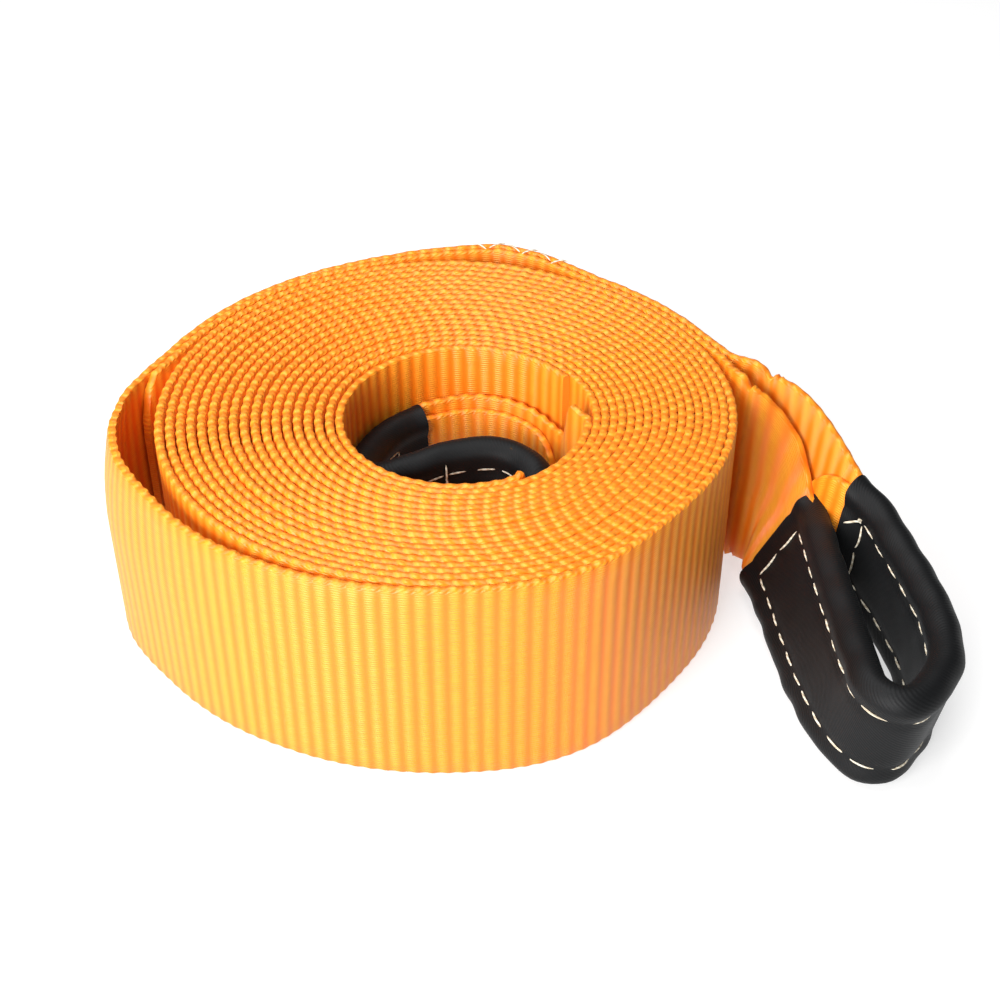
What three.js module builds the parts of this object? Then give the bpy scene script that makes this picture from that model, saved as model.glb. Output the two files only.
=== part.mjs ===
// A flat woven tow strap, rolled into a coil that stands on its edges, with a sewn eye at each end.
// Millimetres, +Z up. The roll's axis is vertical; +X runs from the roll towards the outer eye.
import * as THREE from 'three';

// Webbing
const webbingWidth = 75;
const webbingThickness = 3;
const clearance = 0.3; // between two pieces that touch

// Tight coil
const turnPitch = 3.1; // from one turn to the next: the webbing and a little air
const tightTurns = 18;
const boreRadius = 38;
const boreShift = new THREE.Vector2(6, -7); // the bore lies off the middle of the roll
const turnGroove = 1.2; // depth of the groove between the edges of two turns
const edgeRounding = 0.5; // from a turn's face to the flat of its lower edge
const coilSides = 40;
const coilRadius = boreRadius + tightTurns * turnPitch;
const boreCentre = boreShift;

// Outer turn: where it lies round the coil, in degrees, and how far it stands off the coil there.
// The webbing's end is turned back and sewn down, so the last stretch of the turn is two layers thick.
const outerTurnStart = 8;
const outerTurnSlack = [
  [outerTurnStart, 0],
  [-40, 0],
  [-85, 0],
  [-120, 2.2],
  [-150, 7],
  [-163, 11.5],
  [-173, 12.5],
  [-181, 10.5],
];
const doubledSlack = [
  [-182, 7.5],
  [-190, 3.5],
  [-197, 0.8],
  [-206, 0],
  [-248, 0],
  [-257, 1],
  [-264, 3],
  [-272, 5.5],
  [-279, 9],
  [-286, 7.5],
  [-291, 5.5],
  [-297, 2.5],
  [-304, 0.3],
  [-330, 0],
];
const turnStep = 6; // degrees between two sections
const straightTail = 25; // doubled stretch past the coil, up to where the legs part

// Eyes: the webbing is folded lengthwise, to half its width and twice its thickness
const foldedWidth = webbingWidth / 2;
const foldedThickness = 2 * webbingThickness;

// Sleeves
const sleeveWall = 1.6;
const sleeveSeat = sleeveWall + clearance; // from the folded webbing to the outside of its sleeve
const sleeveCorner = 4;
const eyeSteps = 3; // sections between two points of an eye's route

const webbing = new THREE.MeshStandardMaterial({ color: 0xf7a01c, roughness: 0.62, metalness: 0 });
const sleeveFabric = new THREE.MeshStandardMaterial({ color: 0x121417, roughness: 0.85, metalness: 0 });

const radians = THREE.MathUtils.degToRad;

// The tight coil is one turned solid. A groove between the edges of neighbouring turns shows on both ends.
function coilProfile() {
  const points = [];
  for (let turn = 0; turn < tightTurns; turn++) {
    const inner = boreRadius + turn * turnPitch;
    points.push(new THREE.Vector2(inner, turnGroove));
    points.push(new THREE.Vector2(inner + edgeRounding, 0));
    points.push(new THREE.Vector2(inner + turnPitch - edgeRounding, 0));
  }
  points.push(new THREE.Vector2(coilRadius, turnGroove));
  for (let turn = tightTurns; turn > 0; turn--) {
    const outer = boreRadius + turn * turnPitch;
    points.push(new THREE.Vector2(outer, webbingWidth - turnGroove));
    points.push(new THREE.Vector2(outer - turnPitch / 2, webbingWidth));
  }
  points.push(new THREE.Vector2(boreRadius, webbingWidth - turnGroove));
  points.push(points[0].clone());
  return points;
}

// The turns crowd together on the side that the bore is shifted to.
function shiftTowardsBore(geometry) {
  const position = geometry.attributes.position;
  for (let i = 0; i < position.count; i++) {
    const radius = Math.hypot(position.getX(i), position.getY(i));
    const share = (coilRadius - radius) / (coilRadius - boreRadius);
    position.setX(i, position.getX(i) + share * boreShift.x);
    position.setY(i, position.getY(i) + share * boreShift.y);
  }
}

function coilGeometry() {
  const geometry = new THREE.LatheGeometry(coilProfile(), coilSides);
  geometry.rotateX(Math.PI / 2);
  shiftTowardsBore(geometry);
  return geometry;
}

// A section is a list of [across, up] pairs, counter-clockwise as seen against the band's travel.
function rectangle(halfThickness, halfWidth) {
  return [
    [halfThickness, -halfWidth],
    [halfThickness, halfWidth],
    [-halfThickness, halfWidth],
    [-halfThickness, -halfWidth],
  ];
}

function roundedRectangle(halfThickness, halfWidth, corner) {
  const section = [];
  const corners = [[1, -1, -90], [1, 1, 0], [-1, 1, 90], [-1, -1, 180]];
  for (const [across, up, start] of corners) {
    for (const turn of [0, 45, 90]) {
      const angle = radians(start + turn);
      section.push([
        across * (halfThickness - corner) + corner * Math.cos(angle),
        up * (halfWidth - corner) + corner * Math.sin(angle),
      ]);
    }
  }
  return section;
}

// Each station holds a point on the band's middle and its lean from upright, in degrees, to the right of travel.
// This adds the directions across the band and up it.
function withDirections(stations) {
  return stations.map((station, index) => {
    const before = stations[Math.max(index - 1, 0)].point;
    const after = stations[Math.min(index + 1, stations.length - 1)].point;
    const travel = new THREE.Vector3(after.x - before.x, after.y - before.y, 0).normalize();
    const right = new THREE.Vector3(travel.y, -travel.x, 0);
    const lean = radians(station.lean);
    const up = new THREE.Vector3(0, 0, Math.cos(lean)).addScaledVector(right, Math.sin(lean));
    return { ...station, up, across: new THREE.Vector3().crossVectors(travel, up) };
  });
}

function stationRing({ point, across, up }, section) {
  return section.map(([a, b]) => point.clone().addScaledVector(across, a).addScaledVector(up, b));
}

// Walls between the rings of two stations: outwards for a band's outside, inwards for its hollow.
function addWalls(triangles, rings, outwards) {
  for (let i = 0; i + 1 < rings.length; i++) {
    const near = rings[i];
    const far = rings[i + 1];
    for (let k = 0; k < near.length; k++) {
      const next = (k + 1) % near.length;
      const pair = [near[k], far[k], near[next], near[next], far[k], far[next]];
      triangles.push(...(outwards ? pair : pair.reverse()));
    }
  }
}

function trianglesToGeometry(triangles) {
  return new THREE.BufferGeometry().setFromPoints(triangles);
}

function bandGeometry(stations) {
  const rings = stations.map((station) =>
    stationRing(station, rectangle(station.thickness / 2, station.width / 2)));
  const triangles = [];
  addWalls(triangles, rings, true);
  const [first, last] = [rings[0], rings[rings.length - 1]];
  triangles.push(first[0], first[1], first[2], first[0], first[2], first[3]);
  triangles.push(last[0], last[2], last[1], last[0], last[3], last[2]);
  return trianglesToGeometry(triangles);
}

// A sleeve is a flat tube round the folded webbing, open at both ends.
function sleeveGeometry(stations) {
  const seat = roundedRectangle(foldedThickness / 2 + clearance, foldedWidth / 2 + clearance, clearance);
  const skin = roundedRectangle(foldedThickness / 2 + sleeveSeat, foldedWidth / 2 + sleeveSeat, sleeveCorner);
  const outside = stations.map((station) => stationRing(station, skin));
  const inside = stations.map((station) => stationRing(station, seat));
  const triangles = [];
  addWalls(triangles, outside, true);
  addWalls(triangles, inside, false);
  addWalls(triangles, [inside[0], outside[0]], true);
  addWalls(triangles, [outside[outside.length - 1], inside[inside.length - 1]], true);
  return trianglesToGeometry(triangles);
}

function aroundCoil(angle, radius) {
  return new THREE.Vector3(radius * Math.cos(radians(angle)), radius * Math.sin(radians(angle)), webbingWidth / 2);
}

// Sections of the outer turn between two of its angles, from a list of [angle, slack] points.
function turnStations(slackPoints, thickness) {
  const curve = new THREE.SplineCurve(slackPoints.map(([angle, slack]) => new THREE.Vector2(angle, slack)));
  const span = Math.abs(slackPoints[slackPoints.length - 1][0] - slackPoints[0][0]);
  const steps = Math.round(span / turnStep);
  return curve.getSpacedPoints(steps).map(({ x: angle, y: slack }) => ({
    point: aroundCoil(angle, coilRadius + clearance + Math.max(slack, 0) + thickness / 2),
    lean: 0,
    width: webbingWidth,
    thickness,
  }));
}

// The doubled tail leaves the coil in a straight line.
const tailStart = doubledSlack[doubledSlack.length - 1][0];
const tailDirection = new THREE.Vector3(Math.sin(radians(tailStart)), -Math.cos(radians(tailStart)), 0);
const tailOutward = new THREE.Vector3(Math.cos(radians(tailStart)), Math.sin(radians(tailStart)), 0);
const tailEnd = aroundCoil(tailStart, coilRadius + clearance + webbingThickness)
  .addScaledVector(tailDirection, straightTail);

function outerTurnStations() {
  const single = turnStations(outerTurnSlack, webbingThickness);
  const doubled = turnStations(doubledSlack, 2 * webbingThickness);
  const end = { point: tailEnd.clone(), lean: 0, width: webbingWidth, thickness: 2 * webbingThickness };
  return withDirections([...single, ...doubled, end]);
}

// An eye's route: each row is [x, y, foot, lean, fold]. Foot is the height of the webbing's lower edge,
// and fold goes from 0, flat and full width, to 1, folded double.
function eyeStations(route) {
  const ground = new THREE.CatmullRomCurve3(route.map(([x, y, foot]) => new THREE.Vector3(x, y, foot)));
  const dress = new THREE.CatmullRomCurve3(route.map(([, , , lean, fold]) => new THREE.Vector3(lean, fold, 0)));
  const stations = [];
  const steps = (route.length - 1) * eyeSteps;
  for (let step = 0; step <= steps; step++) {
    const { x, y, z: routeFoot } = ground.getPoint(step / steps);
    const { x: lean, y: routeFold } = dress.getPoint(step / steps);
    const fold = THREE.MathUtils.clamp(routeFold, 0, 1);
    const foot = Math.max(routeFoot, fold * sleeveSeat);
    const width = THREE.MathUtils.lerp(webbingWidth, foldedWidth, fold);
    const thickness = THREE.MathUtils.lerp(webbingThickness, foldedThickness, fold);
    const middle = foot + (width * Math.cos(radians(lean)) + thickness * Math.sin(radians(Math.abs(lean)))) / 2;
    stations.push({ point: new THREE.Vector3(x, y, middle), lean, width, thickness });
  }
  return withDirections(stations);
}

// The outer eye starts and ends on the two layers of the tail, side by side.
const layerOffset = (webbingThickness + clearance) / 2;
const legGap = clearance;
function throatPoint(side) {
  return tailEnd.clone().addScaledVector(tailDirection, legGap).addScaledVector(tailOutward, side * layerOffset);
}
const farThroat = throatPoint(1);
const nearThroat = throatPoint(-1);
const outerEyeRoute = [
  [farThroat.x, farThroat.y, 0, 0, 0],
  [106, 16.5, 4, 0, 0.15],
  [116.5, 6, 10, 0, 0.4],
  [127.5, -3, 15, 0, 0.8],
  [134.5, -12, 12, 0, 1],
  [139, -22.5, 9, 0, 1],
  [142, -36, 6.5, 0, 1],
  [146, -50, 4.5, 0, 1],
  [149, -64, 3, 0, 1],
  [150, -77, sleeveSeat, 0, 1],
  [145.5, -88.5, sleeveSeat, 0, 1],
  [134, -94, sleeveSeat, 2, 1],
  [123, -89, sleeveSeat, 6, 1],
  [119, -77, sleeveSeat, 10, 1],
  [117.5, -62, sleeveSeat, 13, 1],
  [116.5, -45, sleeveSeat, 15, 1],
  [115.5, -28, sleeveSeat, 15, 1],
  [113.5, -12, sleeveSeat, 13, 1],
  [110.5, -1, sleeveSeat, 11, 1],
  [107.5, 7, 3, 8, 0.85],
  [103.5, 14, 3, 4, 0.5],
  [99.5, 20, 1, 1, 0.15],
  [nearThroat.x, nearThroat.y, 0, 0, 0],
];
const outerSleeveFrom = 4;
const outerSleeveTo = 18;

// The inner eye lies in the bore: its far leg follows the wall, its near leg comes back across the bore.
function inBore(angle, inset) {
  const reach = boreRadius - inset;
  return [boreCentre.x + reach * Math.cos(radians(angle)), boreCentre.y + reach * Math.sin(radians(angle))];
}
const flatInset = 2 * clearance + webbingThickness / 2;
const foldedInset = 2 * clearance + foldedThickness / 2;
const sleeveInset = foldedInset + sleeveSeat;
const innerEyeRoute = [
  [...inBore(-62, flatInset), 0, 0, 0],
  [...inBore(-38, flatInset), 0, 0, 0],
  [...inBore(-14, flatInset), 0, 0, 0.04],
  [...inBore(10, foldedInset), 6, 0, 0.3],
  [...inBore(34, foldedInset), 15, 0, 0.8],
  [...inBore(58, foldedInset), 19, 0, 1],
  [...inBore(82, foldedInset), 19.5, 0, 1],
  [...inBore(106, sleeveInset), 19.5, 0, 1],
  [...inBore(130, sleeveInset), 19, 0, 1],
  [...inBore(158, sleeveInset), 18, 0, 1],
  [...inBore(184, sleeveInset), 17, 0, 1],
  [-20.5, -21, 17, -4, 1],
  [-10, -22, 18, -14, 1],
  [2, -17.5, 19, -22, 1],
  [13, -14, 20, -24, 1],
  [22.5, -15, 20, -20, 1],
  [28, -22, 18, -10, 1],
  [27, -30, 12, -4, 0.6],
  [...inBore(-62, flatInset + webbingThickness + clearance), 0, 0, 0],
];
const innerSleeveFrom = 7;
const innerSleeveTo = 16;

const sleeveStretch = (stations, from, to) => stations.slice(from * eyeSteps, to * eyeSteps + 1);

function namedMesh(name, geometry, material) {
  const mesh = new THREE.Mesh(geometry, material);
  mesh.name = name;
  return mesh;
}

const outerEye = eyeStations(outerEyeRoute);
const innerEye = eyeStations(innerEyeRoute);
const outerSleeve = sleeveStretch(outerEye, outerSleeveFrom, outerSleeveTo);
const innerSleeve = sleeveStretch(innerEye, innerSleeveFrom, innerSleeveTo);

const roll = new THREE.Group();
roll.add(namedMesh('webbing_coil', coilGeometry(), webbing));
roll.add(namedMesh('webbing_outer_turn', bandGeometry(outerTurnStations()), webbing));
roll.add(namedMesh('webbing_outer_eye', bandGeometry(outerEye), webbing));
roll.add(namedMesh('webbing_inner_eye', bandGeometry(innerEye), webbing));
roll.add(namedMesh('outer_eye_sleeve', sleeveGeometry(outerSleeve), sleeveFabric));
roll.add(namedMesh('inner_eye_sleeve', sleeveGeometry(innerSleeve), sleeveFabric));

// The origin is the middle of the strap's footprint, on the floor.
const footprint = new THREE.Box3().setFromObject(roll).getCenter(new THREE.Vector3());
roll.position.set(-footprint.x, -footprint.y, 0);

const towStrap = new THREE.Group();
towStrap.add(roll);

export default towStrap;
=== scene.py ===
"""A flat woven tow strap, rolled up on its edges, with a sleeved eye beside it and one in its bore.

All sizes are millimetres in the roll's own frame, with the roll's axis at x = y = 0, until a mesh is made.
"""

import logging
import math
from dataclasses import dataclass, field
from enum import Enum

import bmesh
import bpy
import numpy as np
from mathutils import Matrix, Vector

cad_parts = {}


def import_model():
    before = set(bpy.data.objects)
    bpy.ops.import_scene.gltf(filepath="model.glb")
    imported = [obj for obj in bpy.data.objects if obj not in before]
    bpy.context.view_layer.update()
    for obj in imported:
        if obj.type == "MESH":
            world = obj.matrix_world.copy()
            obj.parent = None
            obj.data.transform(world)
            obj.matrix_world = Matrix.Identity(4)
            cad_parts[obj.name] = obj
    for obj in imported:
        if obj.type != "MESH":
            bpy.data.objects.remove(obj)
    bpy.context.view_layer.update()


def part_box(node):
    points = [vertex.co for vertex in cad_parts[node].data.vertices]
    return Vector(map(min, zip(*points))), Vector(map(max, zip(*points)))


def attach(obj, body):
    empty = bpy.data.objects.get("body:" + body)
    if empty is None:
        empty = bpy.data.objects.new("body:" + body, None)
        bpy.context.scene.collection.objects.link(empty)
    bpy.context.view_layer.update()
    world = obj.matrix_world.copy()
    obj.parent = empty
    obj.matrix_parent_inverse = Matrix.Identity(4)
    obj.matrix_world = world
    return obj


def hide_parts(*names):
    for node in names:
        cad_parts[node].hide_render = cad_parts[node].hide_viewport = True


logging.basicConfig(level=logging.INFO, format="%(message)s")
log = logging.getLogger("tow_strap")

MM = 0.001
# Webbing: 75 mm wide, woven in ribs across its width
HALF_WIDTH = 37.5
FACE_HALF = 36.4  # half of the flat face, between the round edges
EDGE_ROUND = 0.62  # how far a round edge stands out past the face
EDGE_RING = ((0.62, 0.80), (1.0, 0.0), (0.62, -0.80))  # that round, as height and share of the thickness
RIB_PITCH = 4.8
YARN_PITCH = 0.85
WEBBING_THICKNESS = 2.7
LAYER_STEP = 2.95  # from one sewn layer to the next
CORNER_RADIUS = 11.0  # of a rounded end
END_EASE = 15.0  # the weave is even at both ends of a length and grows uneven over this distance
TURN_PITCH = 3.1
SEAM_LAP = 0.6  # degrees that two lengths of the strap overlap where they meet, so no seam shows

# Folds along the webbing, where it is doubled to go through an eye
FULL_FOLD = 38.0  # width folded up
SLEEVED_FOLD = 1.6  # more inside a sleeve, where both layers are level
FOLD_EASE = 6.0  # width over which the mesh's lines gather round a fold
FOLDABLE_LINES = 12  # fewest lines across that can follow a fold
FOLDED_HEIGHT = 37.5
FOLDED_THICKNESS = 6.0
SLEEVE_SEAT = 1.9

# Roll, in degrees round its axis: the strap runs inwards with the angle growing
OUTER_START = 8.0
SPIRAL_RADIUS = 93.85  # middle of the strap where the outer turn starts
BORE_RADIUS = 38.0
COIL_RADIUS = 93.8
BORE_SHIFT = (6.6, -7.6)
DENTS = [(-38.0, -2.2, 15.0), (-66.0, 1.6, 16.0), (52.0, -2.0, 26.0), (2.0, 0.9, 18.0), (-100.0, -0.6, 20.0)]

# Slack of the loose turn, as [angle, distance off the coil]
SINGLE_SLACK = [(60, 0), (8, 0), (-40, 0), (-85, 0), (-120, 2.2), (-150, 7), (-163, 11.5), (-173, 12.5),
                (-181, 10.5)]
DOUBLED_SLACK = [(-182, 7.5), (-190, 3.5), (-197, 0.8), (-206, 0), (-248, 0), (-257, 1), (-264, 3),
                 (-272, 5.5), (-279, 9), (-286, 7.5), (-291, 5.5), (-297, 2.5), (-304, 0.3), (-330, 0)]
TAIL_START = -330.0
TAIL_STRAIGHT = 25.0
TAIL_END_ANGLE = -184.0  # where the returned end of the outer tail stops

# Inner end of the strap
COIL_CUT = 5560.0  # unwound angle where the coil's length meets the inner one
INNER_THROAT = 6050.0  # unwound angle where the inner eye's legs part
INNER_TAIL_ARC = 268.0  # the returned end's length round the bore


def linear(code: str) -> tuple[float, float, float, float]:
    """Turns an sRGB hex colour into the linear colour that a shader takes.

    Args:
        code: six hex digits, with or without a leading hash.

    Returns:
        Red, green, blue and an alpha of 1.
    """
    digits = code.lstrip("#")
    channels = [int(digits[i:i + 2], 16) / 255 for i in (0, 2, 4)]
    return (*[c / 12.92 if c <= 0.04045 else ((c + 0.055) / 1.055) ** 2.4 for c in channels], 1.0)


def smooth(x: np.ndarray) -> np.ndarray:
    """Eases 0 to 1, held outside."""
    t = np.clip(x, 0, 1)
    return t * t * (3 - 2 * t)


def bell(x: np.ndarray, centre: np.ndarray | float, spread: float) -> np.ndarray:
    """A bell curve of height 1."""
    return np.exp(-(((x - centre) / spread) ** 2))


def window(count: int) -> np.ndarray:
    """Weights for a running average, highest in the middle."""
    return np.hanning(count) / np.hanning(count).sum()


def distances(rows: np.ndarray) -> np.ndarray:
    """How far along a path each row lies, from the first two columns."""
    gaps = np.hypot(*(rows[1:, :2] - rows[:-1, :2]).T)
    return np.concatenate([[0], np.cumsum(gaps)])


def read_rows(at: np.ndarray, places: np.ndarray, rows: np.ndarray) -> np.ndarray:
    """Reads rows at places between them.

    Args:
        at: where to read.
        places: where the rows stand.
        rows: one row of values for each place.

    Returns:
        One row for each place read.
    """
    return np.stack([np.interp(at, places, column) for column in rows.T], 1)


def directions(travel: np.ndarray, lean: np.ndarray) -> tuple[np.ndarray, np.ndarray]:
    """Works out which way is up and across at each station of a leaning strip.

    Args:
        travel: unit directions along it, as x and y.
        lean: degrees that it leans to the right.

    Returns:
        The upward and the sideways directions.
    """
    level = np.zeros(len(travel))
    right = np.column_stack([travel[:, 1], -travel[:, 0], level])
    tilt = np.radians(lean)[:, None]
    up = np.array([0, 0, 1.0]) * np.cos(tilt) + right * np.sin(tilt)
    return up, np.cross(np.column_stack([travel, level]), up)


def ripple(along: np.ndarray, wavelength: float, seed: int) -> np.ndarray:
    """A smooth irregular wave between about -1 and 1.

    Args:
        along: places along the strap.
        wavelength: rough distance between two crests, in the same unit.
        seed: picks the wave.

    Returns:
        The wave's height at each place.
    """
    rng = np.random.default_rng(seed)
    total = np.zeros_like(along)
    for stretch in (0.55, 0.83, 1.21, 1.9):
        total += np.sin(2 * np.pi * along / (wavelength * stretch) + rng.uniform(0, 2 * np.pi))
    return total / 2.6


def catmull_rom(points: np.ndarray, steps: int) -> np.ndarray:
    """Follows a centripetal Catmull-Rom curve through rows whose first two columns are a place.

    Args:
        points: one row for each point.
        steps: pieces between two points.

    Returns:
        The rows along the curve.
    """
    first = 2 * points[0] - points[1]
    last = 2 * points[-1] - points[-2]
    rows = np.vstack([first, points, last])
    gaps = np.sqrt(np.maximum(np.hypot(*(rows[1:, :2] - rows[:-1, :2]).T), 1e-3))
    out = []
    for i in range(1, len(rows) - 2):
        t0 = 0.0
        t1, t2, t3 = t0 + gaps[i - 1], t0 + gaps[i - 1] + gaps[i], t0 + gaps[i - 1] + gaps[i] + gaps[i + 1]
        t = np.linspace(t1, t2, steps, endpoint=False)[:, None]
        a1 = (t1 - t) / (t1 - t0) * rows[i - 1] + (t - t0) / (t1 - t0) * rows[i]
        a2 = (t2 - t) / (t2 - t1) * rows[i] + (t - t1) / (t2 - t1) * rows[i + 1]
        a3 = (t3 - t) / (t3 - t2) * rows[i + 1] + (t - t2) / (t3 - t2) * rows[i + 2]
        b1 = (t2 - t) / (t2 - t0) * a1 + (t - t0) / (t2 - t0) * a2
        b2 = (t3 - t) / (t3 - t1) * a2 + (t - t1) / (t3 - t1) * a3
        out.append((t2 - t) / (t2 - t1) * b1 + (t - t1) / (t2 - t1) * b2)
    return np.vstack([*out, points[-1:]])


class Column(Enum):
    """What the columns of a path hold after x and y."""

    FOOT = 2
    LEAN = 3
    TURNED_UP = 4  # how much of the webbing is folded up from below
    GROOVE = 5  # depth of the lengthwise crease in its face
    CURL = 6  # how far the upper edge leans in


class EndShape(Enum):
    """How a length of webbing ends."""

    CUT = "cut square"
    ROUNDED = "rounded corners"


@dataclass(frozen=True)
class Roll:
    """The roll's place and width, read off the frame."""

    centre: tuple[float, float]
    width: float

    @classmethod
    def from_frame(cls) -> "Roll":
        """Reads the coil's node."""
        low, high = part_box("webbing_coil")
        return cls(((low.x + high.x) / 2 / MM, (low.y + high.y) / 2 / MM), high.z / MM)

    def moved(self, points: np.ndarray) -> np.ndarray:
        """Moves places from the roll's own frame to the part's."""
        return points + np.array([*self.centre, 0.0])

    def on_floor(self, points: np.ndarray) -> np.ndarray:
        """Moves places to the part's frame and lifts those below the floor onto it."""
        return np.maximum(self.moved(points), [-np.inf, -np.inf, 0.0])

    def place(self, angle: np.ndarray, radius: np.ndarray) -> np.ndarray:
        """Places round the roll, which crowd together on the side that the bore is shifted to.

        Args:
            angle: degrees round the axis.
            radius: distance from the middle of that turn.

        Returns:
            Rows of x and y.
        """
        share = np.clip((COIL_RADIUS - radius) / (COIL_RADIUS - BORE_RADIUS), 0, 1)
        turn = np.radians(angle)
        x = share * BORE_SHIFT[0] + radius * np.cos(turn)
        y = share * BORE_SHIFT[1] + radius * np.sin(turn)
        return np.stack([x, y], 1)

    def spiral(self, unwound: np.ndarray) -> np.ndarray:
        """Winds the strap in towards the bore, with the dents that the roll has.

        Args:
            unwound: degrees since the outer turn's start.

        Returns:
            The strap's distance from the middle of its turn.
        """
        angle = OUTER_START + unwound
        radius = SPIRAL_RADIUS - TURN_PITCH * unwound / 360
        share = np.clip((radius - BORE_RADIUS) / (COIL_RADIUS - BORE_RADIUS), 0, 1)
        for at, depth, spread in DENTS:
            off = (angle - at + 180) % 360 - 180
            radius = radius + share * depth * bell(off, 0, spread)
        return radius


@dataclass
class Strap:
    """A length of webbing along a path, as a closed mesh whose relief follows its ribs."""

    name: str
    path: np.ndarray
    steps_per_rib: int
    face_points: int
    rib_relief: float = 0.22
    end: EndShape = EndShape.CUT
    seed: int = 1
    side: float = 1.0  # 1 or -1, the side that lengthwise folds turn to
    bend: float = 1.55  # radius of a lengthwise fold, to the middle of the webbing
    edge_relief: float = 0.16  # how far the ribs push each edge out and twist it
    edge_wander: float = 0.12  # how far the edges wander between the ribs
    edge_from: float = 36.2  # the edge's ridge begins here
    selvedge_from: float = 32.5  # the ribs fade out from here
    selvedge_fade: float = 3.0
    groove_width: float = 7.0
    curl_from: float = 4.0  # the upper edge curls from here up
    lift: float = 0.35  # how far the lower edge lies off the floor, as it is not quite level
    lift_wave: float = 0.3
    length: float = field(init=False, default=0.0)
    ribs: int = field(init=False, default=0)

    def resample(self) -> np.ndarray:
        """Spaces the path's rows evenly, a whole number of steps to each rib.

        Returns:
            The eased rows, with each one's distance along the webbing as a last column.
        """
        along = distances(self.path)
        self.ribs = round(along[-1] / RIB_PITCH)
        self.length = float(along[-1])
        where = np.linspace(0, along[-1], self.ribs * self.steps_per_rib + 1)
        rows = read_rows(where, along, self.path)
        weights = window(2 * self.steps_per_rib + 3)
        half = len(weights) // 2
        ends = 2 * rows[0] - rows[half:0:-1], 2 * rows[-1] - rows[-2:-half - 2:-1]
        longer = np.vstack([ends[0], rows, ends[1]])
        eased = [np.convolve(column, weights, mode="valid") for column in longer.T]
        return np.column_stack([*eased, where])

    def across_places(self, turned: np.ndarray) -> np.ndarray:
        """Where the mesh's lengthwise lines lie across the webbing, gathered round a fold where there is one.

        Args:
            turned: for each station, the width that is folded up from below.

        Returns:
            One row of places for each station, from the lower edge to the upper one.
        """
        plain = np.linspace(-FACE_HALF, FACE_HALF, self.face_points)
        if self.face_points < FOLDABLE_LINES:
            return np.tile(plain, (len(turned), 1))
        arc = np.pi * self.bend
        top = np.clip(turned - HALF_WIDTH, arc - FACE_HALF, FACE_HALF)[:, None]
        flap, fold = self.face_points // 4, self.face_points // 3
        gathered = np.hstack([
            -FACE_HALF + (top - arc + FACE_HALF) * np.linspace(0, 1, flap, endpoint=False),
            top - arc + arc * np.linspace(0, 1, fold, endpoint=False),
            top + (FACE_HALF - top) * np.linspace(0, 1, self.face_points - flap - fold),
        ])
        share = smooth((turned - arc) / FOLD_EASE)[:, None]
        return plain[None] * (1 - share) + gathered * share

    def section(self, v: np.ndarray, w: np.ndarray, turned: np.ndarray) -> tuple[np.ndarray, np.ndarray]:
        """Bends the flat section up round its lengthwise fold.

        Args:
            v: place across the webbing.
            w: place through its thickness.
            turned: width folded up from below, a column.

        Returns:
            The places sideways and upwards.
        """
        top = turned - HALF_WIDTH
        tangent = np.clip((top - v) / self.bend, 0, np.pi)
        above = np.maximum(v - top, 0)
        flap = np.maximum(top - np.pi * self.bend - v, 0)
        sideways = -self.side * self.bend * (1 - np.cos(tangent)) + w * np.cos(tangent)
        upwards = above - self.bend * np.sin(tangent) + flap - self.side * w * np.sin(tangent)
        return sideways, upwards

    def unevenness(self, along: np.ndarray) -> np.ndarray:
        """How much the weave's irregularity counts: none at either end of the length."""
        return smooth(np.minimum(along, self.length - along) / END_EASE)

    def ring(self, turned: np.ndarray, along: np.ndarray) -> tuple[np.ndarray, np.ndarray]:
        """Lays out the section before it is folded: up one face, over the edge, down the other and under.

        Args:
            turned: for each station, the width that is folded up from below.
            along: each station's distance along the webbing.

        Returns:
            The places across the webbing and through its thickness.
        """
        phase = 2 * np.pi * self.ribs * along / self.length
        uneven = self.unevenness(along)
        crest = (0.5 + 0.5 * np.cos(phase)) ** 0.75
        slow, quick = ripple(along, 31, self.seed), ripple(along, 7.3, self.seed + 5)
        weave = crest * (1 + uneven * (0.25 * slow + 0.12 * quick))
        half_thick = (WEBBING_THICKNESS / 2 - self.rib_relief / 2 + self.rib_relief * weave)[:, None]
        edge_rise = self.edge_relief * weave + self.edge_wander * uneven * ripple(along, 9.1, self.seed + 9)
        places = self.across_places(turned)
        v_parts, w_parts = [], []
        # the lower edge is pressed flatter by the floor
        for side, rise in ((1, 1.0), (-1, 0.4)):
            v_parts.append(places[:, ::side])
            w_parts.append(side * np.repeat(half_thick, places.shape[1], 1))
            for height, share in EDGE_RING:
                v_parts.append(side * (FACE_HALF + EDGE_ROUND * height + rise * height * edge_rise)[:, None])
                w_parts.append(side * share * half_thick)
        v, w = np.hstack(v_parts), np.hstack(w_parts)
        # the selvedge is woven as a narrow tube, so the ribs fade out before the edge
        plain = (WEBBING_THICKNESS - self.rib_relief * 0.5) / 2 * (1 + 0.035 * crest)[:, None]
        selvedge = smooth((np.abs(v) - self.selvedge_from) / self.selvedge_fade)
        w = w + np.sign(w) * selvedge * (plain - half_thick) * np.abs(w) / half_thick
        # the edge ridge twists a little, like a cord laid along the edge
        w = w + self.edge_relief * np.sin(phase + 0.9)[:, None] * (np.abs(v) > self.edge_from)
        if self.end is EndShape.ROUNDED:
            near = np.clip(CORNER_RADIUS - (along[-1] - along), 0, CORNER_RADIUS)
            limit = HALF_WIDTH - CORNER_RADIUS + np.sqrt(np.maximum(CORNER_RADIUS ** 2 - near ** 2, 0.0))
            v = v * (limit / HALF_WIDTH)[:, None]
        return v, w

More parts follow.
